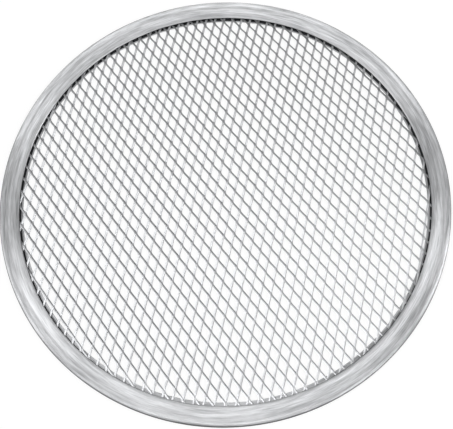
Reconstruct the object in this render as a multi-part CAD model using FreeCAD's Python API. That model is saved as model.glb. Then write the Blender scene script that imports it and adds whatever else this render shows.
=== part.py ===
import FreeCAD, Part
import math
import os

# A round pizza screen: a disc of expanded aluminium mesh, held by a folded ring of aluminium sheet.
# Millimetres and degrees. The origin is the centre of the face it rests on, and +Z is up.

# Rim: one strip of sheet, folded over the edge of the mesh and pressed down on it
rim_diameter = 254.0          # over the rounded outer edge
rim_sheet = 0.5               # thickness of the strip
flange_width = 10.9           # upper flange, from the outer edge to its inner edge
lip_width = 12.6              # lower lip, from the outer edge to its inner edge
bead_width = 4.5              # rounded outer edge, as far as the bottom of the crease
bead_rise = 0.6               # the bead stands this far above the flat of the flange
nose_width = 2.2              # the flange's inner stretch, which curls down on the mesh
nose_radius = 7.0             # of that curl
mouth_height = 1.25           # clear height under the nose, where the mesh enters the fold
bead_flat_count = 6           # each round stretch of the section is a row of short flats
fall_flat_count = 1           # from the top of the bead to its slope
crease_flat_count = 2
nose_flat_count = 1

# Mesh: strands in two directions, which cross at the corners of the diamonds
diamond_length = 12.45        # long way of a diamond, corner to corner
diamond_width = 5.93          # short way of a diamond
diamond_direction = 97.4      # of the long way, turned from +X
crossing_x = 0.63             # one crossing of two strands
crossing_y = -1.2
strand_width = 1.2
strand_height = 0.72
strand_clearance = 0.05       # between the strands of the two directions
mesh_edge_width = 3.0         # pressed edge inside the fold, where all the strands run together
mesh_edge_clearance = 1.2     # from that edge to the turn of the fold
press_run = 1.5               # the strands are pressed thin over this run, up to the lip

# Heights and radii of the rim that follow from these
rim_radius = rim_diameter / 2
flange_radius = rim_radius - flange_width
lip_radius = rim_radius - lip_width
nose_angle = math.degrees(math.asin(nose_width / nose_radius))
mouth_top = rim_sheet + mouth_height
nose_drop = nose_radius - (nose_radius - rim_sheet) * math.cos(math.radians(nose_angle))
flange_top = mouth_top + nose_drop
rim_height = flange_top + bead_rise
bead_radius = rim_height / 2

# The bead and the crease are two arcs that meet smoothly, one bulging and one hollow
crease_run = bead_width - bead_radius
fall_angle = 2 * math.degrees(math.atan(bead_rise / crease_run))
centre_distance = crease_run / math.sin(math.radians(fall_angle))
crease_radius = centre_distance - bead_radius

# Heights and radii of the mesh
mesh_middle = rim_sheet + mouth_height / 2
mesh_half = strand_height + strand_clearance / 2
mesh_radius = rim_radius - bead_radius - mesh_edge_clearance
mesh_edge_radius = mesh_radius - mesh_edge_width

# The strands run along the sides of the diamonds
side_angle = math.degrees(math.atan(diamond_width / diamond_length))
strand_spacing = diamond_length * diamond_width / math.hypot(diamond_length, diamond_width)


def polar(centre, radius, angle):
    # A point of the rim's section, which lies in the XZ plane
    turn = math.radians(angle)
    return centre + FreeCAD.Vector(radius * math.cos(turn), 0, radius * math.sin(turn))


def bend(centre, radius, start, end, flat_count):
    step_angle = (end - start) / flat_count
    return [polar(centre, radius, start + step * step_angle) for step in range(flat_count + 1)]


def revolved(points):
    face = Part.Face(Part.makePolygon(points + points[:1]))
    return face.revolve(FreeCAD.Vector(0, 0, 0), FreeCAD.Vector(0, 0, 1), 360)


def fold_path(inset):
    # One side of the folded strip, from the lip's inner edge round the bead to the nose.
    # The outside has no inset, and the inside lies one sheet thickness in.
    bead = FreeCAD.Vector(rim_radius - bead_radius, 0, bead_radius)
    crease = polar(bead, centre_distance, 90 + fall_angle)
    nose = FreeCAD.Vector(flange_radius + nose_width, 0, flange_top - nose_radius)
    lip = [FreeCAD.Vector(lip_radius, 0, inset)]
    turn = bend(bead, bead_radius - inset, -90, 90, bead_flat_count)
    fall = bend(bead, bead_radius - inset, 90, 90 + fall_angle, fall_flat_count)
    hollow = bend(crease, crease_radius + inset, fall_angle - 90, -90, crease_flat_count)
    curl = bend(nose, nose_radius - inset, 90, 90 + nose_angle, nose_flat_count)
    return lip + turn + fall[1:] + hollow[1:] + curl


def make_rim():
    return revolved(fold_path(0) + fold_path(rim_sheet)[::-1])


def half_chord(radius, side):
    # Half the length of a line through a circle, at this distance from its centre
    return math.sqrt(max(radius ** 2 - side ** 2, 0))


def strand_profile(side):
    # Side view of one strand, above the middle of the mesh: full height over the open mesh,
    # and pressed thin from the lip outwards. side is the strand's far side, from the centre.
    end = half_chord(mesh_radius - mesh_edge_width / 2, side)
    thin = half_chord(lip_radius, side)
    full = half_chord(lip_radius - press_run, side)
    low = strand_clearance / 2
    pressed = mouth_height / 2
    profile = [(-end, low), (end, low), (end, pressed)]
    if full > 0:
        profile += [(thin, pressed), (full, mesh_half), (-full, mesh_half), (-thin, pressed)]
    return profile + [(-end, pressed)]


def make_strands(direction, layer):
    # Parallel straight strands, one at each side of a row of diamonds.
    # layer is 1 for the upper strands and -1 for the lower ones.
    turn = math.radians(direction + 90)
    offset = crossing_x * math.cos(turn) + crossing_y * math.sin(turn)
    reach = mesh_edge_radius - strand_width
    first = math.ceil((-reach - offset) / strand_spacing)
    last = math.floor((reach - offset) / strand_spacing)
    strands = []
    for number in range(first, last + 1):
        middle = offset + number * strand_spacing
        near = middle - strand_width / 2
        profile = strand_profile(abs(middle) + strand_width / 2)
        corners = [FreeCAD.Vector(along, near, mesh_middle + layer * up) for along, up in profile]
        face = Part.Face(Part.makePolygon(corners + corners[:1]))
        strand = face.extrude(FreeCAD.Vector(0, strand_width, 0))
        strand.rotate(FreeCAD.Vector(0, 0, 0), FreeCAD.Vector(0, 0, 1), direction)
        strands.append(strand)
    return strands


def make_mesh():
    # The strands of both directions, joined by the pressed edge that the fold holds
    low = mesh_middle - mouth_height / 2
    high = mesh_middle + mouth_height / 2
    edge = revolved([
        FreeCAD.Vector(mesh_edge_radius, 0, low),
        FreeCAD.Vector(mesh_radius, 0, low),
        FreeCAD.Vector(mesh_radius, 0, high),
        FreeCAD.Vector(mesh_edge_radius, 0, high),
    ])
    lower = make_strands(diamond_direction - side_angle, -1)
    upper = make_strands(diamond_direction + side_angle, 1)
    return edge.fuse(lower + upper).removeSplitter()


def export(name, shape):
    solid = shape.Solids[0]
    print(name, "solids", len(shape.Solids), "valid", solid.isValid(), "volume", round(solid.Volume, 1))
    solid.exportStep("parts/" + name + ".step")


os.makedirs("parts", exist_ok=True)
export("rim", make_rim())
export("mesh", make_mesh())
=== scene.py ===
import bpy
import math
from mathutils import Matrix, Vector


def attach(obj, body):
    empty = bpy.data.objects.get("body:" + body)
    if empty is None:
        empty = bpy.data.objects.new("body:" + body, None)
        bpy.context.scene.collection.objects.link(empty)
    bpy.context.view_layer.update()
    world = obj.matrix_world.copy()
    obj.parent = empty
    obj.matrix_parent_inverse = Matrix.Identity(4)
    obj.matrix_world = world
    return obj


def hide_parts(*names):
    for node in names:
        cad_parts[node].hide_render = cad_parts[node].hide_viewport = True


# A round pizza screen: expanded aluminium mesh in a folded aluminium rim.
# Sizes are in millimetres and angles in degrees, and mm turns them to metres.

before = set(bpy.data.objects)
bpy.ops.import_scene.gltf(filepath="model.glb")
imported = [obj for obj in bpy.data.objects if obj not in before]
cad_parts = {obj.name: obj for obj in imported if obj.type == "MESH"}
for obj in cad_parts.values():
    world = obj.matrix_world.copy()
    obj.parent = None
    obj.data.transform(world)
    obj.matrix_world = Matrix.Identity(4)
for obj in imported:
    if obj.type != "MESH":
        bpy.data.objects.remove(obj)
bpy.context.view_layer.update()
mm = 0.001
print("loaded the CAD nodes:", sorted(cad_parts))


def clearSelection():
    if bpy.context.object and bpy.context.object.mode != "OBJECT":
        bpy.ops.object.mode_set(mode="OBJECT")
    bpy.ops.object.select_all(action="DESELECT")


def makeActive(piece):
    clearSelection()
    piece.select_set(True)
    bpy.context.view_layer.objects.active = piece


def applyModifier(piece, kind, name, **settings):
    makeActive(piece)
    modifier = piece.modifiers.new(name, kind)
    for key, value in settings.items():
        setattr(modifier, key, value)
    bpy.ops.object.modifier_apply(modifier=modifier.name)


def pickParts(piece, kind, test):
    # selects the vertices, edges or faces whose centre passes the test, and goes into edit mode
    makeActive(piece)
    bpy.ops.object.mode_set(mode="EDIT")
    bpy.ops.mesh.select_mode(type={"vertices": "VERT", "edges": "EDGE", "polygons": "FACE"}[kind])
    bpy.ops.mesh.select_all(action="DESELECT")
    bpy.ops.object.mode_set(mode="OBJECT")
    points = piece.data.vertices
    for part in getattr(piece.data, kind):
        if kind == "vertices":
            part.select = test(part.co)
        elif kind == "polygons":
            part.select = test(part.center)
        else:
            part.select = test((points[part.vertices[0]].co + points[part.vertices[1]].co) / 2)
    bpy.ops.object.mode_set(mode="EDIT")


def linearColour(hexText):
    # sRGB hex to the linear values that Blender's sockets take
    parts = [int(hexText[i:i + 2], 16) / 255 for i in (1, 3, 5)]
    return tuple(c / 12.92 if c <= 0.04045 else ((c + 0.055) / 1.055) ** 2.4 for c in parts) + (1,)


def addNode(tree, kind, settings=None, values=None, links=None):
    node = tree.nodes.new(kind)
    for name, value in (settings or {}).items():
        setattr(node, name, value)
    for socket, value in (values or {}).items():
        node.inputs[socket].default_value = value
    for socket, source in (links or {}).items():
        tree.links.new(source, node.inputs[socket])
    return node


def newMaterial(name):
    material = bpy.data.materials.new(name)
    material.use_nodes = True
    material.node_tree.nodes.clear()
    return material, material.node_tree


# Camera, at the photograph's angle

cameraSettings = {
    "place": (0.58, -125.87, 328.55),
    "turn": (18.753, 1.641, -4.822),
    "lens": 49.11,
    "sensor": 36,
}


def makeCamera(s):
    data = bpy.data.cameras.new("camera")
    data.sensor_width = s["sensor"]
    data.lens = s["lens"]
    camera = bpy.data.objects.new("camera", data)
    camera.location = Vector(s["place"]) * mm
    camera.rotation_euler = [math.radians(a) for a in s["turn"]]
    bpy.context.scene.collection.objects.link(camera)
    bpy.context.scene.camera = camera


makeCamera(cameraSettings)
print("camera placed")


# Rim: one strip of sheet, folded over the mesh

rimSettings = {
    "outerRadius": 127.0,
    "sheet": 0.5,
    "lipRadius": 114.15,       # inner edge of the lower lip
    "lipProfile": ((0, 0.5), (1.2, 0.05), (1.8, 0), (8, 0)),    # out from there, and up against the mesh
    "flangeRadius": 115.95,    # inner edge of the upper flange
    "flangeTop": 2.578,
    "flangeLine": 120.4,       # a line round the flat of the flange, where it begins to drift
    "rimHeight": 3.178,        # top of the rounded outer edge
    "beadWidth": 4.5,          # outer edge, as far as the bottom of the crease
    "noseWidth": 2.2,          # the inner stretch, which curls down on the mesh
    "noseRadius": 7.0,
    "edgeRadius": 0.8,         # the flange's very edge is rolled over
    "edgeAngle": 80,           # this far from level
    "arcSteps": {"bead": 20, "crease": 5, "nose": 4, "edge": 5},
    "ringSteps": 300,
    "cutRounding": 0.1,        # of the sheet's cut edges
    "drift": (0.05, -0.25),    # the opening isn't quite in the middle: it is moved by this
    "driftRadii": (121, 119.3, 118),    # once inside each of these radii
}


def rimSection(s):
    # the outside of the fold, as (radius, height), from the lip round the outer edge to the nose
    beadRadius = s["rimHeight"] / 2
    beadRise = s["rimHeight"] - s["flangeTop"]
    creaseRun = s["beadWidth"] - beadRadius
    fallAngle = 2 * math.atan(beadRise / creaseRun)
    creaseRadius = creaseRun / math.sin(fallAngle) - beadRadius
    bead = (s["outerRadius"] - beadRadius, beadRadius)
    crease = (s["outerRadius"] - s["beadWidth"], s["flangeTop"] + creaseRadius)
    nose = (s["flangeRadius"] + s["noseWidth"], s["flangeTop"] - s["noseRadius"])
    edgeAngle = math.radians(s["edgeAngle"])
    inwards = s["noseWidth"] - s["edgeRadius"] * math.sin(edgeAngle)
    noseAngle = math.asin(inwards / (s["noseRadius"] - s["edgeRadius"]))
    edge = (nose[0] - (s["noseRadius"] - s["edgeRadius"]) * math.sin(noseAngle),
            nose[1] + (s["noseRadius"] - s["edgeRadius"]) * math.cos(noseAngle))
    quarter = math.pi / 2

    def arc(centre, radius, start, end, count):
        turns = [start + (end - start) * i / count for i in range(count + 1)]
        return [(centre[0] + radius * math.cos(a), centre[1] + radius * math.sin(a)) for a in turns]

    steps = s["arcSteps"]
    lip = [(s["lipRadius"] + out, height) for out, height in s["lipProfile"]]
    outside = arc(bead, beadRadius, -quarter, quarter + fallAngle, steps["bead"])
    hollow = arc(crease, creaseRadius, fallAngle - quarter, -quarter, steps["crease"])[1:]
    flat = [(s["flangeLine"], s["flangeTop"])]
    curl = arc(nose, s["noseRadius"], quarter, quarter + noseAngle, steps["nose"])
    rolled = arc(edge, s["edgeRadius"], quarter + noseAngle, quarter + edgeAngle, steps["edge"])[1:]
    return lip + outside + hollow + flat + curl + rolled


def makeRim(s):
    section = rimSection(s)
    clearSelection()
    bpy.ops.mesh.primitive_circle_add(
        vertices=s["ringSteps"], radius=section[0][0] * mm, location=(0, 0, section[0][1] * mm))
    rim = bpy.context.object
    rim.name = rim.data.name = "rimStrip"
    bpy.ops.object.transform_apply(location=True, rotation=True, scale=True)
    bpy.ops.object.mode_set(mode="EDIT")
    bpy.ops.mesh.select_mode(type="EDGE")
    bpy.ops.mesh.select_all(action="SELECT")
    for (radius, height), (nextRadius, nextHeight) in zip(section, section[1:]):
        bpy.ops.mesh.extrude_region_move(
            TRANSFORM_OT_translate={"value": (0, 0, (nextHeight - height) * mm)})
        scale = nextRadius / radius
        bpy.ops.transform.resize(value=(scale, scale, 1), center_override=(0, 0, 0))
    bpy.ops.mesh.select_all(action="SELECT")
    bpy.ops.mesh.normals_make_consistent(inside=False)
    bpy.ops.object.mode_set(mode="OBJECT")
    # the faces point out of the fold, so the sheet gets its thickness on the other side
    lowest = min(rim.data.polygons, key=lambda f: f.center.z)
    if lowest.normal.z > 0:
        rim.data.flip_normals()
    applyModifier(rim, "SOLIDIFY", "sheet", thickness=s["sheet"] * mm, offset=-1, use_even_offset=True)
    applyModifier(rim, "BEVEL", "cut edges", width=s["cutRounding"] * mm, segments=2,
                  limit_method="ANGLE", angle_limit=math.radians(50))
    for radius in s["driftRadii"]:
        pickParts(rim, "vertices", lambda c: c.xy.length < radius * mm)
        bpy.ops.transform.translate(value=(s["drift"][0] * mm, s["drift"][1] * mm, 0))
        bpy.ops.object.mode_set(mode="OBJECT")
    makeActive(rim)
    bpy.ops.object.shade_smooth_by_angle(angle=math.radians(35))
    return rim


rim = makeRim(rimSettings)
print("rim made:", len(rim.data.polygons), "faces")


# Mesh: slit and stretched sheet

meshSettings = {
    "longWay": 12.445,         # of a diamond, corner to corner
    "shortWay": 5.921,
    "direction": 97.47,        # of the long way, turned from +X
    "crossing": (0.56, -1.18),
    "strandWidth": 1.25,       # between two slits
    "sheet": 0.8,
    "bond": 1.1,               # flat length where two strands meet
    "strandTurn": (0.35, 0.3),     # where a half strand turns, as shares of its length and its fall
    "rounding": 0.28,          # of each strand's upper edge
    "height": 1.5,             # of the rolled mesh
    "middle": 1.125,
    "pressedMiddle": 1.4,      # height of the strands inside the fold
    # the rim presses the strands from these radii, each time to this share of their height
    "presses": ((110.8, 0.78), (111.8, 0.68), (112.8, 0.6)),
    "keepRadius": 120.6,       # cells with their bond further out are cut away
    "weld": 0.02,              # the cells' ends join within this distance
}


def makeStrandCell(s):
    # One bond with the half strands that leave it, in the axes of the uncut sheet:
    # X along the slits, Y the feed, Z through the sheet.
    pitch = s["shortWay"] / 2
    drop = math.sqrt(pitch ** 2 - s["strandWidth"] ** 2)
    bend = s["bond"] / 2
    reach = s["longWay"] / 4 - bend     # of each half strand, which falls by drop / 2
    first = s["strandTurn"][0] * reach
    fall = s["strandTurn"][1] * drop / 2
    slope = math.atan(drop / 2 / reach)
    hair = 0.01 * mm
    clearSelection()
    bpy.ops.mesh.primitive_cube_add(size=mm, location=(0, 0, 0))
    cell = bpy.context.object
    cell.name = cell.data.name = "expandedMesh"
    cell.scale = (s["bond"], 2 * s["strandWidth"], s["sheet"])
    bpy.ops.object.transform_apply(location=True, rotation=True, scale=True)
    bpy.ops.object.mode_set(mode="EDIT")
    bpy.ops.mesh.select_all(action="SELECT")
    bpy.ops.mesh.bisect(plane_co=(0, 0, 0), plane_no=(0, 1, 0))
    bpy.ops.object.mode_set(mode="OBJECT")
    for side in (1, -1):
        for strand in (1, -1):
            # the strand on the +Y side goes down from its bond, the other goes up
            pickParts(cell, "polygons", lambda c: c.x * side > bend * mm - hair and c.y * strand > hair)
            bpy.ops.mesh.extrude_region_move(TRANSFORM_OT_translate={
                "value": (side * first * mm, 0, -strand * fall * mm)})
            bpy.ops.transform.resize(value=(1, 1, 1 / math.cos(slope)))
            bpy.ops.mesh.extrude_region_move(TRANSFORM_OT_translate={
                "value": (side * (reach - first) * mm, 0, -strand * (drop / 2 - fall) * mm)})
            bpy.ops.mesh.delete(type="ONLY_FACE")       # the next cell's strand joins on here
            bpy.ops.object.mode_set(mode="OBJECT")

    def isUpper(c, strand):
        # well above the middle of the strand on this side of the bond
        out = max(abs(c.x) / mm - bend, 0)
        if out < first:
            down = out / first * fall
        else:
            down = fall + (out - first) / (reach - first) * (drop / 2 - fall)
        return c.z / mm + strand * down > 0.3 * s["sheet"]

    # the shears round each strand's upper edge
    pickParts(cell, "edges", lambda c: (
        (abs(c.y - s["strandWidth"] * mm) < hair and isUpper(c, 1))
        or (abs(c.y) < hair and abs(c.x) > bend * mm and isUpper(c, -1))))
    bpy.ops.mesh.bevel(offset=s["rounding"] * mm, segments=1, affect="EDGES")
    bpy.ops.object.mode_set(mode="OBJECT")
    # the stretched sheet lies down with its feed standing up, and the rolls flatten it
    makeActive(cell)
    cell.rotation_euler = (math.acos(s["strandWidth"] / pitch), 0, 0)
    bpy.ops.object.transform_apply(location=True, rotation=True, scale=True)
    tall = max(v.co.z for v in cell.data.vertices) - min(v.co.z for v in cell.data.vertices)
    cell.scale = (1, 1, s["height"] * mm / tall)
    bpy.ops.object.transform_apply(location=True, rotation=True, scale=True)
    print("cell made, rolled from", round(tall / mm, 2), "to", s["height"], "mm")
    return cell


def makeMesh(s):
    cell = makeStrandCell(s)
    cellFaces = len(cell.data.polygons)
    columns = 2 * math.ceil(rimSettings["outerRadius"] / s["longWay"]) + 1
    rows = 2 * math.ceil(rimSettings["outerRadius"] / s["shortWay"]) + 1
    repeats = (
        ("along", columns, (s["longWay"], 0)),
        ("offset row", 2, (s["longWay"] / 2, s["shortWay"] / 2)),
        ("across", rows, (0, s["shortWay"])),
    )
    for name, count, (stepX, stepY) in repeats:
        applyModifier(cell, "ARRAY", name, count=count, use_relative_offset=False,
                      use_constant_offset=True, constant_offset_displace=(stepX * mm, stepY * mm, 0))
    # the middle cell goes to the crossing, and the long way is turned to its direction
    makeActive(cell)
    startX = -(columns // 2) * s["longWay"]
    startY = -(rows // 2) * s["shortWay"]
    turn = math.radians(s["direction"])
    cell.rotation_euler = (0, 0, turn)
    cell.location = (
        (s["crossing"][0] + startX * math.cos(turn) - startY * math.sin(turn)) * mm,
        (s["crossing"][1] + startX * math.sin(turn) + startY * math.cos(turn)) * mm,
        s["middle"] * mm)
    bpy.ops.object.transform_apply(location=True, rotation=True, scale=True)
    # cells outside the disc are cut away whole
    faces = cell.data.polygons
    outside = set()
    for start in range(0, len(faces), cellFaces):
        block = range(start, start + cellFaces)
        centre = sum((faces[i].center for i in block), Vector()) / cellFaces
        if centre.xy.length > s["keepRadius"] * mm:
            outside.update(block)
    makeActive(cell)
    bpy.ops.object.mode_set(mode="EDIT")
    bpy.ops.mesh.select_mode(type="FACE")
    bpy.ops.mesh.select_all(action="DESELECT")
    bpy.ops.object.mode_set(mode="OBJECT")
    for i in outside:
        faces[i].select = True
    bpy.ops.object.mode_set(mode="EDIT")
    bpy.ops.mesh.delete(type="FACE")
    bpy.ops.mesh.select_all(action="SELECT")
    bpy.ops.mesh.remove_doubles(threshold=s["weld"] * mm)
    bpy.ops.mesh.select_all(action="SELECT")
    bpy.ops.mesh.fill_holes(sides=6)        # the cut ends of the strands
    bpy.ops.mesh.select_all(action="SELECT")
    bpy.ops.mesh.normals_make_consistent(inside=False)
    bpy.ops.object.mode_set(mode="OBJECT")
    # the rim presses the strands thin before they enter the fold
    for radius, ratio in s["presses"]:
        pickParts(cell, "vertices", lambda c: c.xy.length > radius * mm)
        bpy.ops.transform.resize(value=(1, 1, ratio), center_override=(0, 0, s["pressedMiddle"] * mm))
        bpy.ops.object.mode_set(mode="OBJECT")
    makeActive(cell)
    bpy.ops.object.shade_smooth_by_angle(angle=math.radians(45))
    return cell


mesh = makeMesh(meshSettings)
print("mesh made:", len(mesh.data.polygons), "faces")


rimFinish = {
    "darkStreak": "#a9aaac",
    "lightStreak": "#f1f2f4",
    "streakRange": (0.72, 1.28),    # of both noises together, from dark to light
    "broad": (1.6, 26, 2),          # width across the strip, length along it, detail
    "fine": (0.45, 8, 3),           # real brush lines are finer, and are drawn as coarse as they need to show
    "middleRadius": 122,            # where the lengths are true
    "roughness": (0.45, 0.55),
    "bump": (0.35, 0.06),           # strength and depth
    "paintedShade": "#3c3d3f",
    # painted shade at each radius: dark lines along the flange's inner stretch, in the crease and on the
    # outer edge
    "shadeStops": ((116.2, 0.24), (117.4, 0.2), (118.6, 0), (121.7, 0), (122.6, 0.21), (123.5, 0.04),
                  (125.4, 0.04), (126.3, 0.14), (126.45, 0.64), (127, 1)),
    "shadeSpan": (116, 127),
    # painted shade also fills the inside of the fold; each of its limits is a soft one
    "insideOver": (0.42, 0.5),      # height of the lip
    "insideUnder": (2.12, 2.0),     # height of the flange
    "insideBehind": (115.2, 115.5),    # radius round the next centre
    "insideCentre": (0.15, -1.4),      # so that the painted shade covers the lip on the far side and not on the near side
    "insideWithin": (126.8, 126.4),    # radius of the outer edge
}


def makeRimMaterial(s):
    # bright aluminium strip, brushed round the ring by its rolls: light and dark streaks along it, with
    # painted shade inside the fold, along its edges and in the crease
    material, tree = newMaterial("brushedAluminium")
    place = addNode(tree, "ShaderNodeTexCoord").outputs["Object"]
    flatPlace = addNode(tree, "ShaderNodeVectorMath", {"operation": "MULTIPLY"}, {1: (1, 1, 0)}, {0: place})
    radius = addNode(tree, "ShaderNodeVectorMath", {"operation": "LENGTH"}, None, {0: flatPlace.outputs[0]})
    around = addNode(tree, "ShaderNodeVectorMath", {"operation": "NORMALIZE"}, None,
                     {0: flatPlace.outputs[0]})
    height = addNode(tree, "ShaderNodeSeparateXYZ", None, None, {0: place})

    def streaks(width, length, detail):
        along = addNode(tree, "ShaderNodeVectorMath", {"operation": "SCALE"},
                        {"Scale": s["middleRadius"] / length}, {0: around.outputs[0]})
        across = addNode(tree, "ShaderNodeMath", {"operation": "MULTIPLY"}, {1: 1 / (width * mm)},
                         {0: radius.outputs["Value"]})
        rise = addNode(tree, "ShaderNodeMath", {"operation": "MULTIPLY"}, {1: 1 / (width * mm)},
                       {0: height.outputs["Z"]})
        lift = addNode(tree, "ShaderNodeCombineXYZ", None, None, {"Z": across.outputs[0]})
        point = addNode(tree, "ShaderNodeVectorMath", {"operation": "ADD"}, None,
                        {0: along.outputs[0], 1: lift.outputs[0]})
        noise = addNode(tree, "ShaderNodeTexNoise", {"noise_dimensions": "4D"},
                        {"Scale": 1.0, "Detail": detail, "Roughness": 0.6},
                        {"Vector": point.outputs[0], "W": rise.outputs[0]})
        return noise.outputs["Fac"]

    fine = streaks(*s["fine"])
    both = addNode(tree, "ShaderNodeMath", {"operation": "ADD"}, None, {0: streaks(*s["broad"]), 1: fine})
    streak = addNode(tree, "ShaderNodeMapRange", None,
                     {"From Min": s["streakRange"][0], "From Max": s["streakRange"][1]},
                     {"Value": both.outputs[0]})
    brushed = addNode(tree, "ShaderNodeMix", {"data_type": "RGBA"},
                      {"A": linearColour(s["darkStreak"]), "B": linearColour(s["lightStreak"])},
                      {"Factor": streak.outputs[0]})

    # painted shade at each radius: dark lines along the flange's inner edge, in the crease and on the outer
    # edge
    low, high = s["shadeSpan"]
    span = addNode(tree, "ShaderNodeMapRange", None, {"From Min": low * mm, "From Max": high * mm},
                   {"Value": radius.outputs["Value"]})
    shadeRamp = addNode(tree, "ShaderNodeValToRGB", None, None, {"Fac": span.outputs[0]})
    stops = shadeRamp.color_ramp.elements
    for number, (at, amount) in enumerate(s["shadeStops"]):
        position = (at - low) / (high - low)
        stop = stops[number] if number < 2 else stops.new(position)    # a ramp comes with two
        stop.position, stop.color = position, (amount, amount, amount, 1)

    # painted shade inside the fold, where shadow falls, reaching over the lip on the far side only
    offCentre = addNode(tree, "ShaderNodeVectorMath", {"operation": "SUBTRACT"},
                        {1: Vector((*s["insideCentre"], 0)) * mm}, {0: flatPlace.outputs[0]})
    offRadius = addNode(tree, "ShaderNodeVectorMath", {"operation": "LENGTH"}, None,
                        {0: offCentre.outputs[0]})
    inside = None       # the four limits, multiplied
    for limit, measure in (("insideOver", height.outputs["Z"]), ("insideUnder", height.outputs["Z"]),
                           ("insideBehind", offRadius.outputs["Value"]),
                           ("insideWithin", radius.outputs["Value"])):
        part = addNode(tree, "ShaderNodeMapRange", None,
                       {"From Min": s[limit][0] * mm, "From Max": s[limit][1] * mm}, {"Value": measure})
        if inside:
            part = addNode(tree, "ShaderNodeMath", {"operation": "MULTIPLY"}, None,
                           {0: inside.outputs[0], 1: part.outputs[0]})
        inside = part
    # painted shade: the larger of the fold's shade and the radial lines
    paintedShade = addNode(tree, "ShaderNodeMath", {"operation": "MAXIMUM"}, None,
                   {0: inside.outputs[0], 1: shadeRamp.outputs["Color"]})
    tone = addNode(tree, "ShaderNodeMix", {"data_type": "RGBA"}, {"B": linearColour(s["paintedShade"])},
                   {"Factor": paintedShade.outputs[0], "A": brushed.outputs["Result"]})

    rough = addNode(tree, "ShaderNodeMapRange", None,
                    {"From Min": 0.3, "From Max": 0.7,
                     "To Min": s["roughness"][0], "To Max": s["roughness"][1]}, {"Value": fine})
    bump = addNode(tree, "ShaderNodeBump", None, {"Strength": s["bump"][0], "Distance": s["bump"][1] * mm},
                   {"Height": both.outputs[0]})
    tangent = addNode(tree, "ShaderNodeTangent", {"direction_type": "RADIAL", "axis": "Z"})
    # a quarter turn of the anisotropy spreads the highlights across the brush lines
    shader = addNode(tree, "ShaderNodeBsdfPrincipled", None,
                     {"Metallic": 1.0, "Anisotropic": 0.9, "Anisotropic Rotation": 0.25},
                     {"Base Color": tone.outputs["Result"], "Roughness": rough.outputs[0],
                      "Normal": bump.outputs[0], "Tangent": tangent.outputs[0]})
    addNode(tree, "ShaderNodeOutputMaterial", None, None, {"Surface": shader.outputs[0]})
    return material


meshFinish = {
    "dark": "#a2a3a5",
    "light": "#bcbdbf",
    "grain": 0.9,                   # real grain is finer, and is drawn as coarse as it needs to show
    "roughness": (0.36, 0.46),
    "bump": (0.2, 0.03),            # strength and depth
}


def makeMeshMaterial(s):
    # mill-finish aluminium with sheared edges: satin, with fine grain
    material, tree = newMaterial("satinAluminium")
    place = addNode(tree, "ShaderNodeTexCoord").outputs["Object"]
    grain = addNode(tree, "ShaderNodeTexNoise", None,
                    {"Scale": 1 / (s["grain"] * mm), "Detail": 3.0, "Roughness": 0.6}, {"Vector": place})
    tone = addNode(tree, "ShaderNodeMix", {"data_type": "RGBA"},
                   {"A": linearColour(s["dark"]), "B": linearColour(s["light"])},
                   {"Factor": grain.outputs["Fac"]})
    rough = addNode(tree, "ShaderNodeMapRange", None,
                    {"From Min": 0.3, "From Max": 0.7,
                     "To Min": s["roughness"][0], "To Max": s["roughness"][1]},
                    {"Value": grain.outputs["Fac"]})
    bump = addNode(tree, "ShaderNodeBump", None, {"Strength": s["bump"][0], "Distance": s["bump"][1] * mm},
                   {"Height": grain.outputs["Fac"]})
    shader = addNode(tree, "ShaderNodeBsdfPrincipled", None, {"Metallic": 1.0},
                     {"Base Color": tone.outputs["Result"], "Roughness": rough.outputs[0],
                      "Normal": bump.outputs[0]})
    addNode(tree, "ShaderNodeOutputMaterial", None, None, {"Surface": shader.outputs[0]})
    return material


rim.data.materials.append(makeRimMaterial(rimFinish))
mesh.data.materials.append(makeMeshMaterial(meshFinish))
print("finishes made")


# Floor, lamps and world

stageSettings = {
    "floorSize": 12000,
    "floorColour": "#fcfcfc",
    "floorWhite": 0.85,        # share of plain white that camera and mirror rays see
    "worldColour": "#ffffff",
    "worldStrength": 0.25,
    # name: place, side, watts
    "lamps": {
        "overhead": ((0, 0, 1500), 560, 6.3),
        "overheadLeft": ((-525, 0, 1405), 560, 3.3),
        "left": ((-1050, 0, 1070), 560, 4.1),
        "farLeft": ((-900, 900, 790), 560, 2.2),
        "nearRight": ((900, -900, 790), 560, 5.2),
        "right": ((1050, 0, 1070), 560, 3.8),
        "lowRight": ((1410, -180, 480), 400, 4.2),
    },
}


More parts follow.
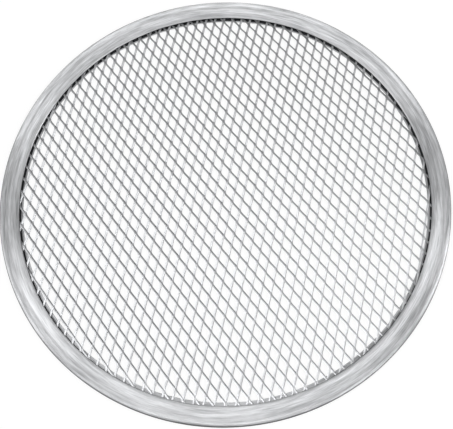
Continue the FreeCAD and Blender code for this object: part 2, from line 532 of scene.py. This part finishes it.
def makeFloor(s):
    clearSelection()
    bpy.ops.mesh.primitive_plane_add(size=s["floorSize"] * mm, location=(0, 0, 0))
    floor = bpy.context.object
    floor.name = "floor"
    material, tree = newMaterial("paleFloor")
    # camera and mirror rays see it mostly white, so that the background is white and keeps a soft shadow
    path = addNode(tree, "ShaderNodeLightPath")
    seen = addNode(tree, "ShaderNodeMath", {"operation": "ADD", "use_clamp": True}, None,
                   {0: path.outputs["Is Camera Ray"], 1: path.outputs["Is Glossy Ray"]})
    alsoSeen = addNode(tree, "ShaderNodeMath", {"operation": "ADD", "use_clamp": True}, None,
                       {0: seen.outputs[0], 1: path.outputs["Is Transmission Ray"]})
    share = addNode(tree, "ShaderNodeMath", {"operation": "MULTIPLY"}, {1: s["floorWhite"]},
                    {0: alsoSeen.outputs[0]})
    matt = addNode(tree, "ShaderNodeBsdfDiffuse", None, {"Color": linearColour(s["floorColour"])})
    white = addNode(tree, "ShaderNodeEmission", None, {"Color": (1, 1, 1, 1), "Strength": 1.0})
    mixed = addNode(tree, "ShaderNodeMixShader", None, None,
                    {0: share.outputs[0], 1: matt.outputs[0], 2: white.outputs[0]})
    addNode(tree, "ShaderNodeOutputMaterial", None, None, {"Surface": mixed.outputs[0]})
    floor.data.materials.append(material)


def makeLights(s):
    # square soft lamps, all turned to the middle of the screen
    for name, (place, side, watts) in s["lamps"].items():
        data = bpy.data.lights.new(name, "AREA")
        data.size = side * mm
        data.energy = watts
        lamp = bpy.data.objects.new(name, data)
        lamp.location = Vector(place) * mm
        lamp.rotation_euler = Vector(place).to_track_quat("Z", "Y").to_euler()
        bpy.context.scene.collection.objects.link(lamp)
    world = bpy.data.worlds.new("world")
    bpy.context.scene.world = world
    world.use_nodes = True
    tree = world.node_tree
    tree.nodes.clear()
    sky = addNode(tree, "ShaderNodeBackground", None,
                  {"Color": linearColour(s["worldColour"]), "Strength": s["worldStrength"]})
    addNode(tree, "ShaderNodeOutputWorld", None, None, {"Surface": sky.outputs[0]})


makeFloor(stageSettings)
makeLights(stageSettings)
bpy.context.scene.view_settings.view_transform = "Standard"
print("floor and lights placed")


for piece, slot in ((rim, "rim"), (mesh, "mesh")):
    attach(piece, "root")
    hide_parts(slot)
